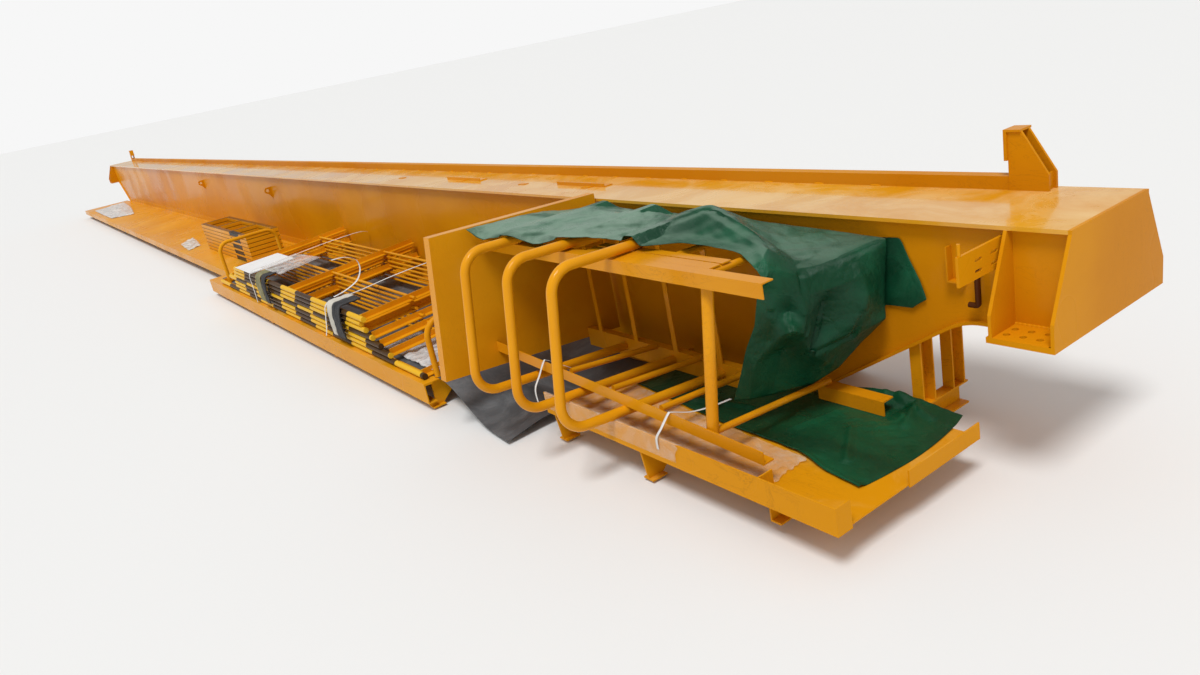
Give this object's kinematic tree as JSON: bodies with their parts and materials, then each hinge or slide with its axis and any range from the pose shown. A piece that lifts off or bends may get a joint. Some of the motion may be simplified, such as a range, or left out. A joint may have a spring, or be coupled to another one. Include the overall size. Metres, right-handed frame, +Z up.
{
  "type": "overhead crane main girder with walkway",
  "caption": "Haunched box girder of an overhead crane with trolley rail, bolted end seats, side walkway and packed railings and cage parts.",
  "frame": {"origin": "middle of the bottom flange's underside, at half the girder's length", "axes": "+X along the girder towards the end with the short tray, +Y towards the trolley rail, +Z up"},
  "size_m": [20.5, 1.6499, 1.118],
  "materials": {
    "girder_paint": "gloss",
    "walkway_paint": "gloss",
    "cage_paint": "gloss",
    "railing_paint": "gloss",
    "sign_white": "satin",
    "mat_rubber": "matte",
    "tarp_cloth": "satin"
  },
  "bodies": {
    "root": {"web_walkway_side": "girder_paint", "web_rail_side": "girder_paint", "top_flange": "girder_paint", "bottom_flange": "girder_paint", "inner_diaphragms": "girder_paint", "end_plate_near": "girder_paint", "end_plate_far": "girder_paint", "seat_diaphragms": "girder_paint", "seat_flange_near": "girder_paint", "seat_flange_far": "girder_paint", "trolley_rail": "girder_paint", "trolley_stops": "girder_paint", "web_eyes": "girder_paint", "rail_side_brackets": "girder_paint", "web_fittings": "girder_paint", "ledger_angle": "walkway_paint", "walkway_floor_far": "walkway_paint", "walkway_floor_wide": "walkway_paint", "edge_beam_far": "walkway_paint", "edge_beam_wide": "walkway_paint", "walkway_bearers": "walkway_paint", "near_tray_floor": "walkway_paint", "near_tray_toe_outer": "walkway_paint", "near_tray_toe_front": "walkway_paint", "hanger_posts": "walkway_paint", "hanger_beam": "walkway_paint", "cage_hoops": "cage_paint", "cage_top_bars": "cage_paint", "cage_post": "cage_paint", "cage_lower_frame": "cage_paint", "cage_panel": "cage_paint", "loose_angles": "cage_paint", "railing_1": "railing_paint", "railing_2": "railing_paint", "railing_3": "railing_paint", "railing_4": "railing_paint", "railing_5": "railing_paint", "railing_6": "railing_paint", "railing_7": "railing_paint", "end_hoops": "railing_paint", "far_railing_stack": "railing_paint", "sign_plate": "sign_white", "rubber_mat": "mat_rubber", "tarp_cage": "tarp_cloth", "tarp_tray": "tarp_cloth"}
  },
  "joints": []
}
